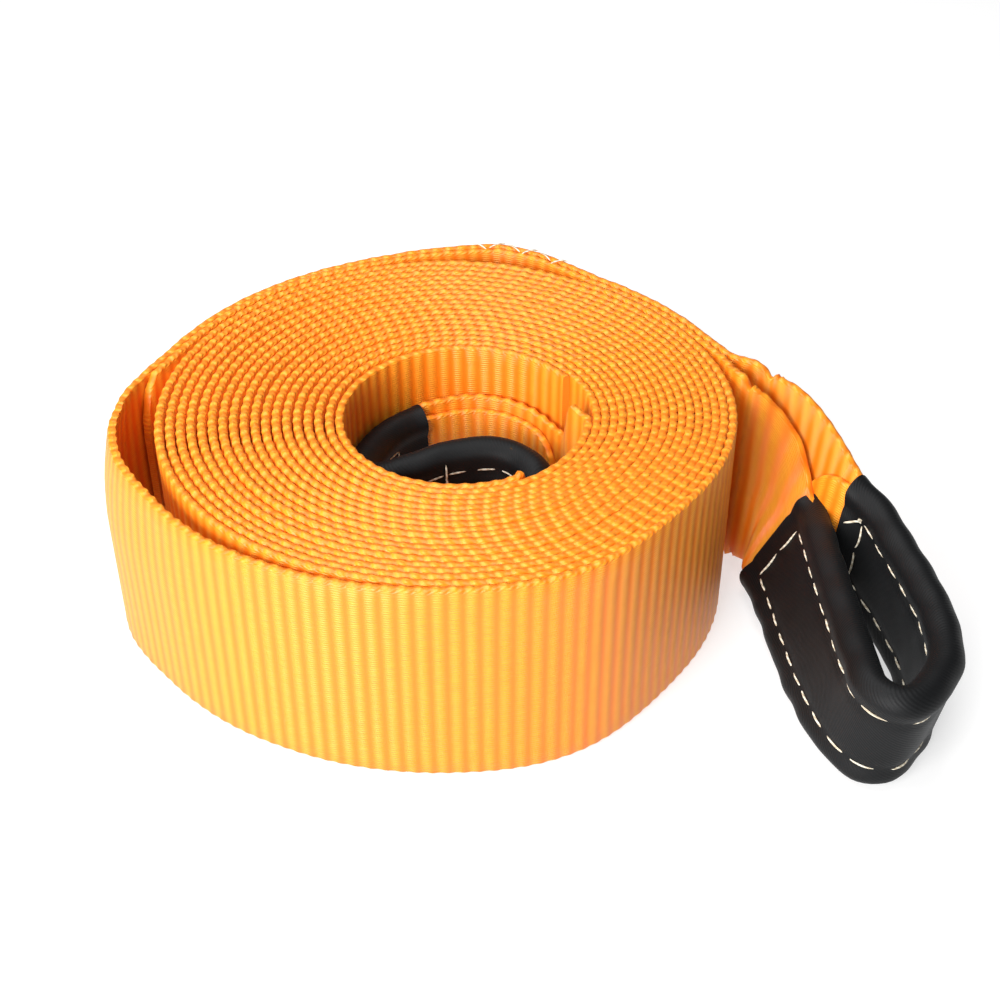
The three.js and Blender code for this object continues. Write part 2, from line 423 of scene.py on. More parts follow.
    def build(self, roll: Roll) -> bpy.types.Object:
        """Makes the mesh.

        Args:
            roll: gives the place of the roll's axis.

        Returns:
            The object, with its place in its mesh.
        """
        rows = self.resample()
        xy, foot, lean, turned, groove, curl, along = rows[:, :2], *rows[:, 2:].T
        travel = np.gradient(xy, axis=0)
        travel /= np.linalg.norm(travel, axis=1)[:, None]
        up, across = directions(travel, lean)
        v, w = self.ring(turned, along)
        sideways, upwards = self.section(v, w, turned[:, None])
        sideways = sideways + self.side * self.bend * smooth(turned / 34.0)[:, None]
        sideways = sideways + groove[:, None] * bell(v, turned[:, None] / 2, self.groove_width)
        curled = np.clip((v - self.curl_from) / (HALF_WIDTH - self.curl_from), 0, 1)
        sideways = sideways + curl[:, None] * curled ** 2
        lift = self.lift + self.lift_wave * self.unevenness(along) * ripple(along, 160, self.seed + 2)
        # the path is the middle of the standing section, so a leaning one turns about its middle
        lowest, highest = upwards.min(axis=1), upwards.max(axis=1)
        upwards = upwards - (highest + lowest)[:, None] / 2
        slope = np.radians(np.abs(lean))
        width = WEBBING_THICKNESS * (1 + smooth(turned / 20.0))
        rise = ((highest - lowest) * np.cos(slope) + width * np.sin(slope)) / 2
        base = np.column_stack([xy, foot + np.maximum(lift, 0.02) + rise])
        points = base[:, None] + across[:, None] * sideways[..., None] + up[:, None] * upwards[..., None]
        return self.mesh(roll.on_floor(points), v, along)

    def mesh(self, points: np.ndarray, v: np.ndarray, along: np.ndarray) -> bpy.types.Object:
        """Joins the rings into one closed mesh with a UV map in millimetres.

        Args:
            points: one ring for each station.
            v: each point's place across the webbing.
            along: each station's distance along it.

        Returns:
            The new object.
        """
        stations, ring = v.shape
        index = np.arange(stations * ring).reshape(stations, ring)
        after = np.roll(index, -1, axis=1)
        quads = np.stack([index[:-1], after[:-1], after[1:], index[1:]], -1).reshape(-1, 4)
        faces = quads.tolist() + [index[0, ::-1].tolist(), index[-1].tolist()]
        u = np.repeat(along * self.ribs * RIB_PITCH / self.length, ring)
        return add_piece(self.name, points, faces, np.stack([u, v.reshape(-1)], 1), 50.0)


def add_piece(name: str, points: np.ndarray, faces: list[list[int]], uv: np.ndarray | None,
              sharp: float) -> bpy.types.Object:
    """Adds a mesh from places in millimetres.

    Args:
        name: the piece's name.
        points: the places, rows of x, y and z.
        faces: the corners of each face.
        uv: each point's place on the cloth, or None where the finish needs none.
        sharp: sharper edges than this stay sharp, in degrees.

    Returns:
        The new object.
    """
    data = bpy.data.meshes.new(name)
    data.from_pydata((points.reshape(-1, 3) * MM).tolist(), [], faces)
    if uv is not None:
        layer = data.uv_layers.new(name="weave")
        corners = np.zeros(len(data.loops), np.int32)
        data.loops.foreach_get("vertex_index", corners)
        layer.data.foreach_set("uv", uv[corners].astype(np.float32).ravel())
    piece = bpy.data.objects.new(name, data)
    bpy.context.scene.collection.objects.link(piece)
    tidy_normals(piece, sharp)
    return piece


def tidy_normals(piece: bpy.types.Object, angle: float) -> None:
    """Turns the faces outwards and shades them smooth up to an angle.

    Args:
        piece: the object.
        angle: sharper edges than this stay sharp, in degrees.
    """
    mesh = bmesh.new()
    mesh.from_mesh(piece.data)
    bmesh.ops.recalc_face_normals(mesh, faces=mesh.faces)
    mesh.to_mesh(piece.data)
    mesh.free()
    bpy.ops.object.select_all(action="DESELECT")
    piece.select_set(True)
    bpy.context.view_layer.objects.active = piece
    bpy.ops.object.shade_smooth_by_angle(angle=math.radians(angle))
    piece.select_set(False)


def flat_rows(places: np.ndarray) -> np.ndarray:
    """Path rows for webbing that stands flat on its edge."""
    return np.column_stack([places, np.zeros((len(places), len(Column)))])


def padded(route: list[tuple[float, ...]]) -> list[tuple[float, ...]]:
    """The rows of a route with no curl."""
    return [(*row, 0.0) for row in route]


def slack_at(angle: np.ndarray, table: list[tuple[float, float]]) -> np.ndarray:
    """Reads the loose turn's slack from its table, eased between the rows.

    Args:
        angle: degrees round the roll.
        table: rows of angle and distance off the coil.

    Returns:
        The slack at each angle.
    """
    at, slack = np.array(sorted(table), float).T
    fine = np.linspace(at[0], at[-1], 400)
    rough = np.interp(fine, at, slack)
    eased = np.convolve(np.pad(rough, 6, mode="edge"), window(13), mode="valid")
    return np.interp(angle, fine, eased)


@dataclass
class OuterEye:
    """The eye beside the roll: the webbing's route out of the tail, round the sleeve and back."""

    # x, y, foot, lean, fold, groove
    route: tuple = (
        (108.5, 19.5, 1.5, 0, 0.12, 0),
        (119.5, 11, 6.5, -3, 0.4, 0),
        (128, -0.8, 14.5, -7, 0.85, 0),
        (134.6, -12.1, 12, -10, 1, 0),
        (141.5, -20.5, 9, -8, 1, 0),
        (146, -32.5, 6.5, -5, 1, 0),
        (150.5, -48, 4.5, -4, 1, 0),
        (153, -65, 3, -5, 1, 0),
        (151.3, -80.8, SLEEVE_SEAT, -8, 1, 0),
        (144.5, -92.5, SLEEVE_SEAT, -11, 1, 0),
        (136.5, -99.5, SLEEVE_SEAT, -8, 1, 0),
        (128.8, -95.8, SLEEVE_SEAT, 1, 1, 0),
        (124.1, -82.8, SLEEVE_SEAT, 12, 1, 0),
        (121.4, -64.3, SLEEVE_SEAT, 20, 1, 0),
        (119.5, -43.2, SLEEVE_SEAT, 24, 1, 0),
        (118, -21.9, SLEEVE_SEAT, 28, 1, 0),
        (116.3, -6.5, SLEEVE_SEAT, 33, 1, 1.0),
        (114.5, -2.5, 4, 29, 0.85, 2.0),
        (112.5, 1.5, 7, 22, 0.68, 2.5),
        (109, 4.5, 6, 13, 0.48, 2.0),
        (104, 8, 3, 5, 0.25, 1.0),
        (99.3, 13.5, 0.8, 1, 0.08, 0),
    )
    sleeve_from: float = 3.1
    sleeve_to: float = 16.2


@dataclass
class InnerEye:
    """The eye in the bore: along the wall, round the sleeve and back across the bore."""

    bore_centre: tuple[float, float] = (6.0, -7.0)
    flat_inset: float = 2.1
    folded_inset: float = 3.6
    sleeve_inset: float = 5.5

    def in_bore(self, angle: float, inset: float) -> tuple[float, float]:
        """Finds a place in the bore.

        Args:
            angle: degrees round it.
            inset: distance in from its wall.

        Returns:
            The place's x and y.
        """
        reach = BORE_RADIUS - inset
        turn = math.radians(angle)
        return self.bore_centre[0] + reach * math.cos(turn), self.bore_centre[1] + reach * math.sin(turn)

    @property
    def route(self) -> list[tuple[float, ...]]:
        """The rows of x, y, foot, lean, fold and groove."""
        return [
            (*self.in_bore(7, self.flat_inset), 1, 0, 0.08, 0),
            (*self.in_bore(14, self.folded_inset - 1), 9, 0, 0.7, 0),
            (*self.in_bore(26, self.folded_inset), 15, 0, 0.95, 0),
            (*self.in_bore(38, self.folded_inset), 17, 0, 1, 0),
            (*self.in_bore(58, self.folded_inset), 18, 0, 1, 0),
            (*self.in_bore(82, self.folded_inset), 18, 0, 1, 0),
            (*self.in_bore(106, self.sleeve_inset), 17.5, 0, 1, 0),
            (*self.in_bore(130, self.sleeve_inset), 17, 0, 1, 0),
            (*self.in_bore(158, self.sleeve_inset), 16.5, 0, 1, 0),
            (*self.in_bore(184, self.sleeve_inset), 17, 0, 1, 0),
            (-19, -14.5, 19, -4, 1, 0),
            (-10, -14, 21, -9, 1, 0),
            (2, -10.5, 22.5, -13, 1, 0),
            (13, -8.5, 23, -14, 1, 0),
            (23, -10.5, 22.5, -12, 1, 0),
            (29.5, -19, 19, -8, 1, 0),
            (28.5, -29, 6, -4, 0.7, 0),
        ]

    sleeve_from: float = 6.45
    sleeve_to: float = 15.2


def eye_rows(route: list[tuple[float, ...]], steps: int = 8,
             sleeved: tuple[float, float] | None = None) -> np.ndarray:
    """Path rows along an eye's route, with the fold as a width of webbing.

    Args:
        route: rows of x, y, foot, lean, fold share and groove.
        steps: pieces between two rows.
        sleeved: the first and last row inside the sleeve, where the two layers are level.

    Returns:
        The path rows.
    """
    rows = catmull_rom(np.array(route, float), steps)
    share = np.clip(rows[:, Column.TURNED_UP.value], 0, 1)
    rows[:, Column.FOOT.value] = np.maximum(rows[:, Column.FOOT.value], share * SLEEVE_SEAT)
    rows[:, Column.TURNED_UP.value] = share * FULL_FOLD
    if sleeved:
        at = np.arange(len(rows)) / steps
        inside = smooth((at - sleeved[0]) / 0.3) * smooth((sleeved[1] - at) / 0.3)
        rows[:, Column.TURNED_UP.value] += inside * SLEEVED_FOLD
    return rows


@dataclass
class Webbing:
    """The whole strap, in three lengths that meet end to end where no one sees it."""

    roll: Roll
    outer_eye: OuterEye
    inner_eye: InnerEye
    bulge: float = 3.7  # how far the loose turn swells out over the tail's free end
    bulge_curl: float = 1.3  # how far its upper edge leans out there, as a share of that

    def coil(self) -> Strap:
        """Winds the tight turns.

        Returns:
            The webbing of the coil.
        """
        unwound = np.arange(60 - OUTER_START - SEAM_LAP / 2, COIL_CUT + SEAM_LAP, 2.0)
        places = self.roll.place(OUTER_START + unwound, self.roll.spiral(unwound))
        return Strap("coiled_webbing", flat_rows(places), steps_per_rib=5, face_points=2, seed=11)

    def outer(self) -> Strap:
        """Lays the loose turn, the doubled tail, the outer eye and the returned end.

        Returns:
            The webbing of the outer end.
        """
        single = np.arange(60.0, SINGLE_SLACK[-1][0], -1.5)
        doubled = np.arange(DOUBLED_SLACK[0][0], TAIL_START - 0.1, -1.5)
        single_radius = self.roll.spiral(single - OUTER_START) + slack_at(single, SINGLE_SLACK)
        inner_radius = self.roll.spiral(doubled - OUTER_START) + slack_at(doubled, DOUBLED_SLACK)
        swell = self.bulge * bell(single, -170, 26)
        turn = flat_rows(self.roll.place(single, single_radius + swell))
        turn[:, Column.CURL.value] = self.bulge_curl * swell
        settle = self.bulge * bell(doubled, -172, 12)
        over = flat_rows(self.roll.place(doubled, inner_radius + LAYER_STEP + settle))
        over[:, Column.CURL.value] = self.bulge_curl * settle
        under = flat_rows(self.roll.place(doubled, inner_radius))
        start = math.radians(TAIL_START)
        straight = TAIL_STRAIGHT * np.array([math.sin(start), -math.cos(start)])
        far_throat, near_throat = (flat_rows(layer[-1:, :2] + straight)[0] for layer in (over, under))
        back = under[doubled < TAIL_END_ANGLE][::-1]
        sleeved = (self.outer_eye.sleeve_from + 1, self.outer_eye.sleeve_to + 1)
        eye = eye_rows([far_throat, *padded(self.outer_eye.route), near_throat], sleeved=sleeved)
        path = np.vstack([turn, over, eye, back])
        return Strap("outer_webbing", path, steps_per_rib=6, face_points=14, rib_relief=0.13,
                     end=EndShape.ROUNDED, side=-1.0, seed=23)

    def inner(self) -> Strap:
        """Lays the innermost turns, the inner eye and its returned end.

        Returns:
            The webbing of the inner end.
        """
        unwound = np.arange(COIL_CUT - SEAM_LAP, INNER_THROAT + 60, 2.0)
        main = flat_rows(self.roll.place(OUTER_START + unwound, self.roll.spiral(unwound)))
        back = np.arange(INNER_THROAT, INNER_THROAT - INNER_TAIL_ARC, -2.0)
        tail = flat_rows(self.roll.place(OUTER_START + back, self.roll.spiral(back) - LAYER_STEP))
        sleeved = (self.inner_eye.sleeve_from + 1, self.inner_eye.sleeve_to + 1)
        eye = eye_rows([main[-1], *padded(self.inner_eye.route), tail[0]], sleeved=sleeved)
        path = np.vstack([main[:-1], eye[:-1], tail])
        return Strap("inner_webbing", path, steps_per_rib=6, face_points=14, rib_relief=0.3, seed=37)


@dataclass
class Sleeve:
    """A fabric sleeve round the folded webbing of an eye, sewn along both its edges."""

    name: str
    node: str
    rows: np.ndarray
    half_height: float = 20.9
    half_thick: float = 4.9
    wall: float = 1.5
    round_from: float = 0.74  # the round edge begins here, as a share of the half height
    seam_height: float = 0.54  # the stitch row along each edge, as the same share
    seam_depth: float = 0.6
    puff_height: float = 0.77  # the cloth swells most here, beyond the stitch row
    puff: float = 0.8
    pucker: float = 0.55
    hem_width: float = 2.2
    mouth_pinch: float = 0.015
    edge_grow: float = 0.35  # share of a crease that shows at the round edges
    step: float = 1.5
    ring_points: int = 56
    seed: int = 3

    def frames(self) -> dict[str, np.ndarray]:
        """Spaces stations evenly along the sleeve.

        Returns:
            Their middles, their upward and sideways directions and their distances along it.
        """
        along = distances(self.rows)
        where = np.linspace(0, along[-1], max(int(along[-1] / self.step), 8))
        rows = read_rows(where, along, self.rows)
        travel = np.gradient(rows[:, :2], axis=0)
        longer = np.pad(travel, ((4, 4), (0, 0)), mode="edge")
        travel = np.stack([np.convolve(column, window(9), mode="valid") for column in longer.T], 1)
        travel /= np.linalg.norm(travel, axis=1)[:, None]
        lean = rows[:, Column.LEAN.value]
        up, across = directions(travel, lean)
        slope = np.radians(np.abs(lean))
        middle = (FOLDED_HEIGHT * np.cos(slope) + FOLDED_THICKNESS * np.sin(slope)) / 2
        centre = np.column_stack([rows[:, :2], rows[:, Column.FOOT.value] + middle])
        return {"centre": centre, "up": up, "across": across, "along": where}

    def length(self) -> float:
        """The sleeve's length."""
        return float(self.frames()["along"][-1])

    def face(self, height: np.ndarray) -> np.ndarray:
        """How far the face stands off the sleeve's middle, at shares of the half height."""
        swell = self.puff * bell(height, self.puff_height, 0.16)
        return self.half_thick + swell - self.seam_depth * bell(height, self.seam_height, 0.06)

    def outline(self, turn: np.ndarray) -> tuple[np.ndarray, np.ndarray]:
        """The sleeve's section: a flat middle between two stitch rows and a puffy roll at each edge.

        Args:
            turn: angles round the section, in radians.

        Returns:
            Places sideways and upwards.
        """
        upwards = self.half_height * np.sign(np.sin(turn)) * np.abs(np.sin(turn)) ** 0.9
        height = np.abs(upwards) / self.half_height
        corner = np.clip((height - self.round_from) / (1 - self.round_from), 0, 1)
        sideways = np.sign(np.cos(turn)) * self.face(height) * np.sqrt(np.maximum(1 - corner ** 2, 0))
        return sideways, upwards

    def creases(self, along: np.ndarray, turn: np.ndarray, height: np.ndarray) -> np.ndarray:
        """Puckers the cloth, most beside the stitch rows, and thickens it at both hems.

        Args:
            along: distances along the sleeve, as a column.
            turn: angles round its section.
            height: places up its face, as shares of the half height.

        Returns:
            How far the cloth stands out at each station and angle.
        """
        rng = np.random.default_rng(self.seed)
        waves = np.zeros((len(along), len(turn)))
        for _ in range(5):
            wavelength = rng.uniform(11, 26)
            drift = rng.uniform(-2.5, 2.5)
            waves += np.sin(2 * np.pi * along / wavelength + drift * turn[None] + rng.uniform(0, 6.3))
        amount = 0.16 + 0.22 * bell(height, 0.6, 0.15)
        hem = bell(along, 0, self.hem_width) + bell(along, along[-1], self.hem_width)
        return self.pucker * (waves * amount[None] + hem)

    def build(self, roll: Roll) -> bpy.types.Object:
        """Makes the sleeve as a closed tube with an inner wall.

        Args:
            roll: gives the roll's centre.

        Returns:
            The new object.
        """
        f = self.frames()
        turn = np.linspace(0, 2 * np.pi, self.ring_points, endpoint=False) + np.pi / self.ring_points
        sideways, upwards = self.outline(turn)
        crease = self.creases(f["along"][:, None], turn, np.abs(upwards) / self.half_height)
        grow = crease / np.hypot(self.half_thick, self.edge_grow * self.half_height)
        outer_a = sideways[None] * (1 + grow)
        outer_a[[0, -1]] *= 1 - self.mouth_pinch
        outer_b = upwards[None] * (1 + grow * self.edge_grow)
        inner_a = np.sign(sideways) * np.minimum(np.abs(sideways), self.half_thick)
        inner_a = inner_a[None] * (1 - self.wall / self.half_thick)
        inner_b = upwards[None] * (1 - self.wall / self.half_height)
        outside, inside = (
            f["centre"][:, None] + f["across"][:, None] * a[..., None] + f["up"][:, None] * b[..., None]
            for a, b in ((outer_a, outer_b), (inner_a, inner_b)))
        points = roll.on_floor(np.concatenate([outside, inside[::-1]], 0))
        rings, ring = points.shape[:2]
        index = np.arange(rings * ring).reshape(rings, ring)
        after = np.roll(index, -1, axis=1)
        faces = np.stack([index, after, np.roll(after, -1, axis=0), np.roll(index, -1, axis=0)], -1)
        u = np.concatenate([f["along"], f["along"][::-1]]).repeat(ring)
        girth = np.tile(np.where(np.cos(turn) > 0, upwards, 2 * self.half_height - upwards), rings)
        return add_piece(self.name, points, faces.reshape(-1, 4).tolist(), np.stack([u, girth], 1), 60.0)

    def surface(self, roll: Roll, along: np.ndarray, height: np.ndarray, side: float) -> tuple:
        """Places on the sleeve's face with the direction out of it.

        Args:
            roll: gives the roll's centre.
            along: distances along the sleeve.
            height: places up the face, from -1 to 1.
            side: 1 or -1, which face.

        Returns:
            Points and outward directions.
        """
        f = self.frames()
        centre, up, across = (read_rows(along, f["along"], f[key]) for key in ("centre", "up", "across"))
        off = side * self.face(np.abs(height))
        points = centre + across * off[:, None] + up * (height * self.half_height)[:, None]
        return roll.moved(points), across * side


@dataclass
class Stitches:
    """Rows of stitches: one short bowed length of thread, copied along each row."""

    name: str
    radius: float = 0.36
    pitch: float = 9.0
    reach: float = 8.3
    bow: float = 0.55  # how far a stitch's middle stands out
    seat: float = 0.35  # how deep its ends go in

    def model(self) -> bpy.types.Mesh:
        """Models one stitch as a rod of unit size along +X, cut into short lengths so that it can bow.

        Returns:
            The stitch's mesh.
        """
        bpy.ops.object.select_all(action="DESELECT")
        bpy.ops.mesh.primitive_cylinder_add(vertices=6, radius=1.0, depth=1.0, end_fill_type="TRIFAN")
        stitch = bpy.context.active_object
        bpy.ops.object.mode_set(mode="EDIT")
        bpy.ops.mesh.select_all(action="SELECT")
        bpy.ops.transform.rotate(value=math.pi / 2, orient_axis="Y", center_override=(0, 0, 0))
        bpy.ops.object.mode_set(mode="OBJECT")
        mesh = bmesh.new()
        mesh.from_mesh(stitch.data)
        for cut in [i / 8 - 0.5 for i in range(1, 8)]:
            geometry = list(mesh.verts) + list(mesh.edges) + list(mesh.faces)
            bmesh.ops.bisect_plane(mesh, geom=geometry, plane_co=(cut, 0, 0), plane_no=(1, 0, 0))
        mesh.to_mesh(stitch.data)
        mesh.free()
        data = stitch.data.copy()
        bpy.data.objects.remove(stitch)
        return data

    def build(self, runs: list[tuple[np.ndarray, np.ndarray]]) -> bpy.types.Object:
        """Lays the stitch along each run and joins the copies.

        Args:
            runs: for each stitch, its line of points and its outward directions.

        Returns:
            The joined object.
        """
        one = self.model()
        base = np.zeros(len(one.vertices) * 3)
        one.vertices.foreach_get("co", base)
        base = base.reshape(-1, 3)
        faces = [list(p.vertices) for p in one.polygons]
        bpy.data.meshes.remove(one)
        share = base[:, 0] + 0.5
        thick = self.radius * np.sqrt(np.clip(1 - (2 * np.abs(share - 0.5)) ** 6, 0.08, 1))
        off = self.bow * np.sin(np.pi * share) - self.seat + base[:, 2] * thick
        points, polygons = [], []
        for number, (line, outward) in enumerate(runs):
            steps = np.linspace(0, 1, len(line))
            middle, out, ahead = (
                read_rows(share, steps, rows) for rows in (line, outward, np.gradient(line, axis=0)))
            ahead /= np.linalg.norm(ahead, axis=1)[:, None]
            sideways = np.cross(ahead, out)
            points.append(middle + out * off[:, None] + sideways * (base[:, 1] * thick)[:, None])
            polygons += [[number * len(base) + i for i in face] for face in faces]
        return add_piece(self.name, np.vstack(points), polygons, None, 60.0)


def add_node(tree: bpy.types.NodeTree, kind: str, settings: dict | None = None,
             links: dict | None = None) -> bpy.types.Node:
    """Adds a shader node.

    Args:
        tree: the material's nodes.
        kind: the node's type.
        settings: property or input values by name or number.
        links: sockets to join to its inputs.

    Returns:
        The new node.
    """
    node = tree.nodes.new(kind)
    for key, value in (settings or {}).items():
        if isinstance(key, str) and hasattr(node, key):
            setattr(node, key, value)
        else:
            node.inputs[key].default_value = value
    for key, socket in (links or {}).items():
        tree.links.new(socket, node.inputs[key])
    return node


def calc(tree: bpy.types.NodeTree, operation: str,
         *values: bpy.types.NodeSocket | float) -> bpy.types.NodeSocket:
    """Adds a sum to a material.

    Args:
        tree: the material's nodes.
        operation: what is worked out.
        values: what it takes, sockets or plain numbers.

    Returns:
        The socket that holds the result.
    """
    plain = {i: value for i, value in enumerate(values) if isinstance(value, float)}
    joined = {i: value for i, value in enumerate(values) if not isinstance(value, float)}
    return add_node(tree, "ShaderNodeMath", {"operation": operation, **plain}, joined).outputs[0]


def blend(tree: bpy.types.NodeTree, share: bpy.types.NodeSocket, first: bpy.types.NodeSocket | str,
          second: str) -> bpy.types.NodeSocket:
    """Mixes two colours.

    Args:
        tree: the material's nodes.
        share: how much of the second colour shows.
        first: the first colour, as hex digits or a socket.
        second: the second colour, as hex digits.

    Returns:
        The mixed colour's socket.
    """
    mix = add_node(tree, "ShaderNodeMix", {"data_type": "RGBA", 7: linear(second)}, {0: share})
    if isinstance(first, str):
        mix.inputs[6].default_value = linear(first)
    else:
        tree.links.new(first, mix.inputs[6])
    return mix.outputs[2]


def new_material(name: str) -> tuple[bpy.types.Material, bpy.types.NodeTree, bpy.types.Node]:
    """Starts a material.

    Args:
        name: the material's name.

    Returns:
        The material, its empty tree and the output node in it.
    """
    material = bpy.data.materials.new(name)
    material.use_nodes = True
    tree = material.node_tree
    tree.nodes.clear()
    return material, tree, add_node(tree, "ShaderNodeOutputMaterial")


@dataclass(frozen=True)
class WebbingFinish:
    """Woven polyester webbing: bright filament yarns over thick weft ribs, glossy along the yarns."""

    # the crest and valley colours are painted light: a painted highlight on the rib crests and painted shade
    # in the valleys between them
    crest: str = "#FFAA28"
    painted_valley_shade: str = "#EC7A06"
    yarn_shade: str = "#E37006"
    sheen: str = "#FFE2B0"
    chevron_pitch: float = 2.4
    chevron_slant: float = 1.9
    chevron_relief: float = 0.38
    grain_scale: tuple[float, float, float] = (0.18, 1.1, 1.0)  # long along the strap, as the yarns are
    grain_strength: float = 0.6
    relief_strength: float = 0.75
    relief_depth: float = 0.00028
    roughness: float = 0.46

    def material(self) -> bpy.types.Material:
        """Builds the nodes: painted shade in the rib valleys and a painted highlight on the rib crests,
        streaky yarns and their fine shine.

        Returns:
            The finished material.
        """
        material, tree, out = new_material("polyester_webbing")
        uv = add_node(tree, "ShaderNodeUVMap", {"uv_map": "weave"})
        parts = add_node(tree, "ShaderNodeSeparateXYZ", links={0: uv.outputs[0]})
        along, up = parts.outputs[0], parts.outputs[1]
        # the ribs catch the light on their crests: the colour paints that highlight on the crests and paints
        # shade in the valleys
        rib_wave = calc(tree, "COSINE", calc(tree, "MULTIPLY", along, 2 * math.pi / RIB_PITCH))
        crest = add_node(tree, "ShaderNodeMapRange", {"From Min": -1.0, "From Max": 1.0}, {"Value": rib_wave})
        # every second rib carries the yarns half a pitch higher, as in a plain weave
        turn = calc(tree, "SIGN", calc(tree, "COSINE", calc(tree, "MULTIPLY", along, math.pi / RIB_PITCH)))
        shift = calc(tree, "MULTIPLY", turn, math.pi / 2)
        yarn_wave = calc(tree, "SINE", calc(tree, "MULTIPLY_ADD", up, 2 * math.pi / YARN_PITCH, shift))
        yarn = add_node(tree, "ShaderNodeMapRange", {"From Min": -1.0, "From Max": 1.0}, {"Value": yarn_wave})
        # a long grain makes single yarns darker and breaks up their shine
        stretched = add_node(tree, "ShaderNodeMapping", {"Scale": self.grain_scale},
                             {"Vector": uv.outputs[0]})
        noise = add_node(tree, "ShaderNodeTexNoise", {"Scale": 1.0, "Detail": 3.0},
                         {"Vector": stretched.outputs[0]})
        grain = calc(tree, "MULTIPLY", noise.outputs[0], self.grain_strength)
        # painted rib shading (highlight on the crests, shade in the valleys), with the random yarn grain
        # mixed over it
        color = blend(tree, grain, blend(tree, crest.outputs[0], self.painted_valley_shade, self.crest), self.yarn_shade)
        relief = calc(tree, "MULTIPLY", yarn.outputs[0], crest.outputs[0])
        # along both edges the yarns turn back in small chevrons, one for each weft pick
        reach = calc(tree, "ABSOLUTE", up)
        edge = add_node(tree, "ShaderNodeMapRange", {"From Min": 35.6, "From Max": 36.3}, {"Value": reach})
        slant = calc(tree, "MULTIPLY_ADD", reach, self.chevron_slant, along)
        chain = calc(tree, "SINE", calc(tree, "MULTIPLY", slant, 2 * math.pi / self.chevron_pitch))
        chevrons = calc(tree, "MULTIPLY", chain, edge.outputs[0])
        total = calc(tree, "MULTIPLY_ADD", chevrons, self.chevron_relief, calc(tree, "ADD", relief, grain))
        bump = add_node(tree, "ShaderNodeBump",
                        {"Strength": self.relief_strength, "Distance": self.relief_depth},
                        {"Height": total})
        shader = add_node(tree, "ShaderNodeBsdfPrincipled",
                          {"Roughness": self.roughness, "IOR": 1.5, "Sheen Weight": 0.1,
                           "Sheen Roughness": 0.4, "Sheen Tint": linear(self.sheen)},
                          {"Base Color": color, "Normal": bump.outputs[0]})
        tree.links.new(shader.outputs[0], out.inputs[0])
        return material


@dataclass(frozen=True)
class SleeveFinish:
    """Black coated nylon cloth, woven in a fine twill, with a faint cool sheen."""

    cloth: str = "#060708"
    worn: str = "#0F1012"
    sheen: str = "#AEBBC4"
    twill_pitch: float = 1.1
    grain_relief: float = 1.2
    relief_strength: float = 0.22
    relief_depth: float = 0.00012
    roughness: float = 0.58

    def material(self) -> bpy.types.Material:
        """Builds the nodes: worn patches a shade lighter, and a slanting twill that only close light shows.

        Returns:
            The finished material.
        """
        material, tree, out = new_material("black_nylon_twill")
        uv = add_node(tree, "ShaderNodeUVMap", {"uv_map": "weave"})
        parts = add_node(tree, "ShaderNodeSeparateXYZ", links={0: uv.outputs[0]})
        slant = calc(tree, "ADD", parts.outputs[0], parts.outputs[1])
        twill = calc(tree, "SINE", calc(tree, "MULTIPLY", slant, 2 * math.pi / self.twill_pitch))
        grain = add_node(tree, "ShaderNodeTexNoise", {"Scale": 1.4, "Detail": 4.0}, {"Vector": uv.outputs[0]})
        patch = add_node(tree, "ShaderNodeTexNoise", {"Scale": 0.06, "Detail": 2.0},
                         {"Vector": uv.outputs[0]})
        color = blend(tree, patch.outputs[0], self.cloth, self.worn)
        total = calc(tree, "MULTIPLY_ADD", grain.outputs[0], self.grain_relief, twill)
        bump = add_node(tree, "ShaderNodeBump",
                        {"Strength": self.relief_strength, "Distance": self.relief_depth},
                        {"Height": total})
        shader = add_node(tree, "ShaderNodeBsdfPrincipled",
                          {"Roughness": self.roughness, "IOR": 1.5, "Specular IOR Level": 0.22,
                           "Sheen Weight": 0.03, "Sheen Roughness": 0.35, "Sheen Tint": linear(self.sheen)},
                          {"Base Color": color, "Normal": bump.outputs[0]})
        tree.links.new(shader.outputs[0], out.inputs[0])
        return material


@dataclass(frozen=True)
class ThreadFinish:
    """Off-white spun polyester sewing thread, two plies twisted together."""

    thread: str = "#E6DFCC"
    shade: str = "#B9AB93"
    ply_pitch: float = 1.3
    bands_to_pitch: float = 3.2  # how many times finer the bands come out than their scale

    def material(self) -> bpy.types.Material:
        """Builds the nodes: slanting bands of light and shade, one for each ply.

        Returns:
            The finished material.
        """
        material, tree, out = new_material("off_white_thread")
        place = add_node(tree, "ShaderNodeTexCoord")
        scale = 1 / (self.ply_pitch * MM) / self.bands_to_pitch
        wave = add_node(tree, "ShaderNodeTexWave", {"bands_direction": "DIAGONAL", "Scale": scale},
                        {"Vector": place.outputs["Object"]})
        color = blend(tree, wave.outputs[1], self.shade, self.thread)
        bump = add_node(tree, "ShaderNodeBump", {"Strength": 0.5, "Distance": 0.0001},
                        {"Height": wave.outputs[1]})
        shader = add_node(tree, "ShaderNodeBsdfPrincipled", {"Roughness": 0.6, "IOR": 1.5},
                          {"Base Color": color, "Normal": bump.outputs[0]})
        tree.links.new(shader.outputs[0], out.inputs[0])
        return material


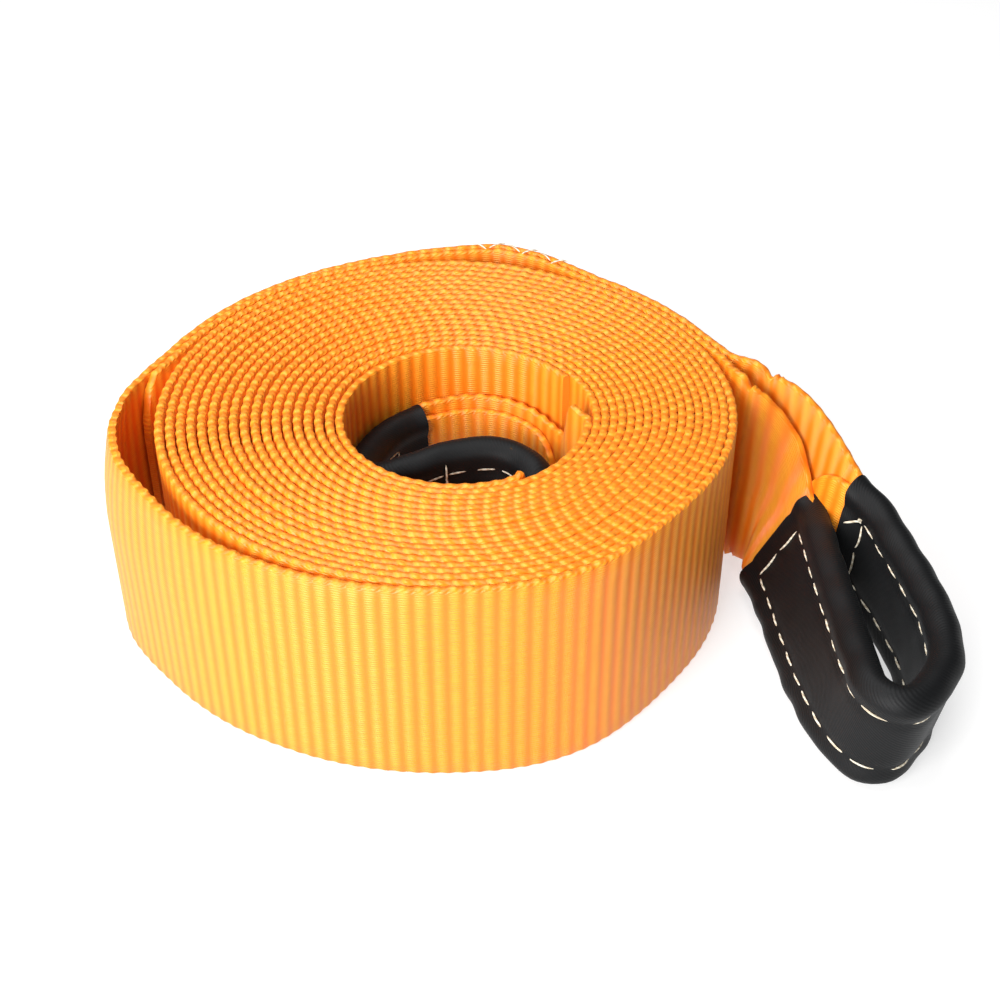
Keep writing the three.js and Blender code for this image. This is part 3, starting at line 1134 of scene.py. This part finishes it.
@dataclass(frozen=True)
class Studio:
    """The camera, the pale floor and the soft lights."""

    lens: float = 57.6
    pitch: float = 37.4
    distance: float = 543.0
    target: tuple[float, float, float] = (18.7, -5.4, 37.5)
    floor: str = "#B4B4B4"
    floor_glow: float = 0.62  # the floor's own light, which keeps it plain white round the strap
    room_light: float = 0.14
    lamps: tuple = (("key", (-0.5, -0.85, 0.5), 0.6, 19.0), ("top", (-0.25, 0.1, 1.1), 0.9, 12.0))

    def camera(self, roll: Roll) -> None:
        """Sets the camera at the photograph's angle.

        Args:
            roll: gives the roll's centre.
        """
        data = bpy.data.cameras.new("camera")
        data.lens = self.lens
        data.sensor_width = 36
        camera = bpy.data.objects.new("camera", data)
        bpy.context.scene.collection.objects.link(camera)
        pitch = math.radians(self.pitch)
        target = Vector(roll.moved(np.array(self.target))) * MM
        forward = Vector((0, math.cos(pitch), -math.sin(pitch)))
        camera.location = target - forward * self.distance * MM
        camera.rotation_euler = forward.to_track_quat("-Z", "Y").to_euler()
        bpy.context.scene.camera = camera

    def light(self, name: str, place: tuple[float, float, float], size: float, power: float) -> None:
        """Adds a square soft light that faces the roll.

        Args:
            name: the light's name.
            place: where it hangs, in metres.
            size: length of its side, in metres.
            power: its power in watts.
        """
        data = bpy.data.lights.new(name, "AREA")
        data.size = size
        data.energy = power
        lamp = bpy.data.objects.new(name, data)
        bpy.context.scene.collection.objects.link(lamp)
        lamp.location = place
        lamp.rotation_euler = (Vector((0, 0, 0.04)) - Vector(place)).to_track_quat("-Z", "Y").to_euler()

    def build(self) -> None:
        """Adds the floor, the lights and the room's even light."""
        bpy.ops.object.select_all(action="DESELECT")
        bpy.ops.mesh.primitive_plane_add(size=8.0, location=(0, 0, -0.0002))
        floor = bpy.context.active_object
        floor.name = "floor"
        material, tree, out = new_material("pale_floor")
        shader = add_node(tree, "ShaderNodeBsdfPrincipled",
                          {"Base Color": linear(self.floor), "Roughness": 0.9, "Specular IOR Level": 0.1,
                           "Emission Color": linear("#FFFFFF"), "Emission Strength": self.floor_glow})
        tree.links.new(shader.outputs[0], out.inputs[0])
        floor.data.materials.append(material)
        for lamp in self.lamps:
            self.light(*lamp)
        world = bpy.data.worlds.new("room")
        bpy.context.scene.world = world
        world.use_nodes = True
        background = world.node_tree.nodes["Background"]
        background.inputs[0].default_value = linear("#FFFFFF")
        background.inputs[1].default_value = self.room_light
        bpy.context.scene.view_settings.view_transform = "Standard"


def dress(piece: bpy.types.Object, material: bpy.types.Material, nodes: list[str]) -> None:
    """Gives a piece its material, hangs it under the root body and hides the solids that it takes the place
    of.

    Args:
        piece: the object.
        material: its finish.
        nodes: the solids that it takes the place of, if any.
    """
    piece.data.materials.append(material)
    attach(piece, "root")
    if nodes:
        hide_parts(*nodes)


def sleeve_rows(route: list[tuple[float, ...]], start: float, end: float, steps: int = 20) -> np.ndarray:
    """Cuts out the stretch of an eye's route that its sleeve covers.

    Args:
        route: the eye's route.
        start: the row where the sleeve starts, counted in the route's rows.
        end: the row where it ends.
        steps: pieces between two rows.

    Returns:
        The path rows inside the sleeve.
    """
    rows = eye_rows(route, steps)
    return rows[round(start * steps):round(end * steps) + 1]


@dataclass(frozen=True)
class SewingPlan:
    """Where a sleeve's stitches run."""

    first: float  # distance of the first cross row from its mouth
    last: float  # distance of the last cross row from the other mouth
    bow: float = 1.6  # how far the cross rows curve inwards
    cross_middle: float = 0.02  # where the two stitches of a cross row meet
    points: int = 7

    def rows(self, sleeve: Sleeve, roll: Roll, spec: Stitches) -> list:
        """The rows along both edges and the cross rows, on both faces.

        Args:
            sleeve: the sleeve that is sewn.
            roll: gives the roll's centre.
            spec: the stitch's pitch and reach.

        Returns:
            Lines of points with their outward directions.
        """
        total = sleeve.length()
        heights = (sleeve.seam_height, -sleeve.seam_height)
        runs = []
        rng = np.random.default_rng(sleeve.seed)
        for side in (1.0, -1.0):
            for height in heights:
                start = self.first
                while start + spec.reach < total - self.last + 1:
                    along = np.linspace(start, start + spec.reach, self.points)
                    drift = height + rng.uniform(-0.012, 0.012) * np.linspace(-1, 1, self.points)
                    runs.append(sleeve.surface(roll, along, drift, side))
                    start += spec.pitch * rng.uniform(0.96, 1.04)
            for place, turn in ((self.first, 1), (total - self.last, -1)):
                for low, high in ((heights[1], self.cross_middle), (self.cross_middle, heights[0])):
                    across = np.linspace(low, high, self.points)
                    along = place + turn * self.bow * np.sin(np.linspace(0, np.pi, self.points))
                    runs.append(sleeve.surface(roll, along, across, side))
        return runs


@dataclass(frozen=True)
class TailSewing:
    """Stitches over the upper edges of the doubled outer tail, where a seam ends at the back of the roll."""

    first_angle: float = 66.0
    last_angle: float = 84.0
    count: int = 6
    reach: float = 4.2
    slant: float = 3.0  # degrees that a stitch leans, one way and then the other
    edge_top: float = 75.35
    bow: float = 0.5

    def runs(self, strap: Webbing) -> list[tuple[np.ndarray, np.ndarray]]:
        """The stitches, each laid across the seam between the two layers.

        Args:
            strap: gives the roll and the layers' places.

        Returns:
            Lines of points with their outward directions.
        """
        runs = []
        for index, angle in enumerate(np.linspace(self.first_angle, self.last_angle, self.count)):
            unwound = np.array([angle - 360 - OUTER_START])
            slack = slack_at(np.array([angle - 360]), DOUBLED_SLACK)
            middle = (strap.roll.spiral(unwound) + slack)[0] + LAYER_STEP / 2
            share = np.linspace(-0.5, 0.5, 5)
            turn = np.radians(angle + (self.slant if index % 2 else -self.slant) * share)
            away = middle + self.reach * share
            z = self.edge_top + self.bow * (0.25 - share ** 2)
            points = np.stack([away * np.cos(turn), away * np.sin(turn), z], 1)
            runs.append((strap.roll.moved(points), np.tile([0, 0, 1.0], (5, 1))))
        return runs


def loose_end(sleeve: Sleeve, roll: Roll, path: list[tuple[float, float, float]], side: float) -> tuple:
    """A loose thread end over a sleeve's face.

    Args:
        sleeve: the sleeve under it.
        roll: gives the roll's centre.
        path: points as distance along the sleeve, place up its face and height over it.
        side: 1 or -1, which face.

    Returns:
        Its line of points with their outward directions.
    """
    along, height, over = np.array(path, float).T
    points, out = sleeve.surface(roll, along, height, side)
    return points + out * over[:, None], out


def main() -> None:
    """Builds the strap round the frame."""
    roll = Roll.from_frame()
    studio = Studio()
    studio.camera(roll)
    studio.build()
    webbing = WebbingFinish().material()
    cloth = SleeveFinish().material()
    thread = ThreadFinish().material()

    strap = Webbing(roll, OuterEye(), InnerEye())
    stood_for = {
        "coiled_webbing": ["webbing_coil"],
        "outer_webbing": ["webbing_outer_turn", "webbing_outer_eye"],
        "inner_webbing": ["webbing_inner_eye"],
    }
    for part in (strap.coil(), strap.outer(), strap.inner()):
        piece = part.build(roll)
        dress(piece, webbing, stood_for[part.name])
        log.info("%s: %.2f m, %d faces", part.name, part.length * MM, len(piece.data.polygons))

    outer_rows, inner_rows = (sleeve_rows(list(eye.route), eye.sleeve_from, eye.sleeve_to)
                              for eye in (strap.outer_eye, strap.inner_eye))
    tail = Stitches("tail_stitches", radius=0.3).build(TailSewing().runs(strap))
    dress(tail, thread, [])
    outer = Sleeve("outer_sleeve", "outer_eye_sleeve", outer_rows, seed=3)
    inner = Sleeve("inner_sleeve", "inner_eye_sleeve", inner_rows, seed=5)
    spec = Stitches("spec")
    across = inner.length() - 36
    loose = {
        outer.name: [
            loose_end(outer, roll, [(8.4, 0.5, 0.1), (7.2, 0.53, 0.7), (7.6, 0.58, 0.8),
                                    (8.8, 0.57, 0.3)], 1.0),
            loose_end(outer, roll, [(8.4, 0.54, 0.1), (6.6, 0.5, 0.8), (4.2, 0.4, 1.0),
                                    (1.8, 0.28, 0.6)], 1.0),
        ],
        inner.name: [
            loose_end(inner, roll, [(across, 0.74, 0.3), (across, 0.62, 0.8), (across, 0.48, 0.3),
                                    (across, 0.34, 0.8), (across, 0.2, 0.4)], 1.0),
        ],
    }
    for sleeve, plan in ((outer, SewingPlan(8.5, 8.5)), (inner, SewingPlan(14.0, 7.0))):
        piece = sleeve.build(roll)
        dress(piece, cloth, [sleeve.node])
        sleeve.length() * MM
        runs = plan.rows(sleeve, roll, spec)
        stitches = Stitches(sleeve.name + "_stitches").build(runs + loose[sleeve.name])
        dress(stitches, thread, [])
        log.info("%s: %.3f m long", sleeve.name, sleeve.length() * MM)


if __name__ == "__main__":
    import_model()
    main()
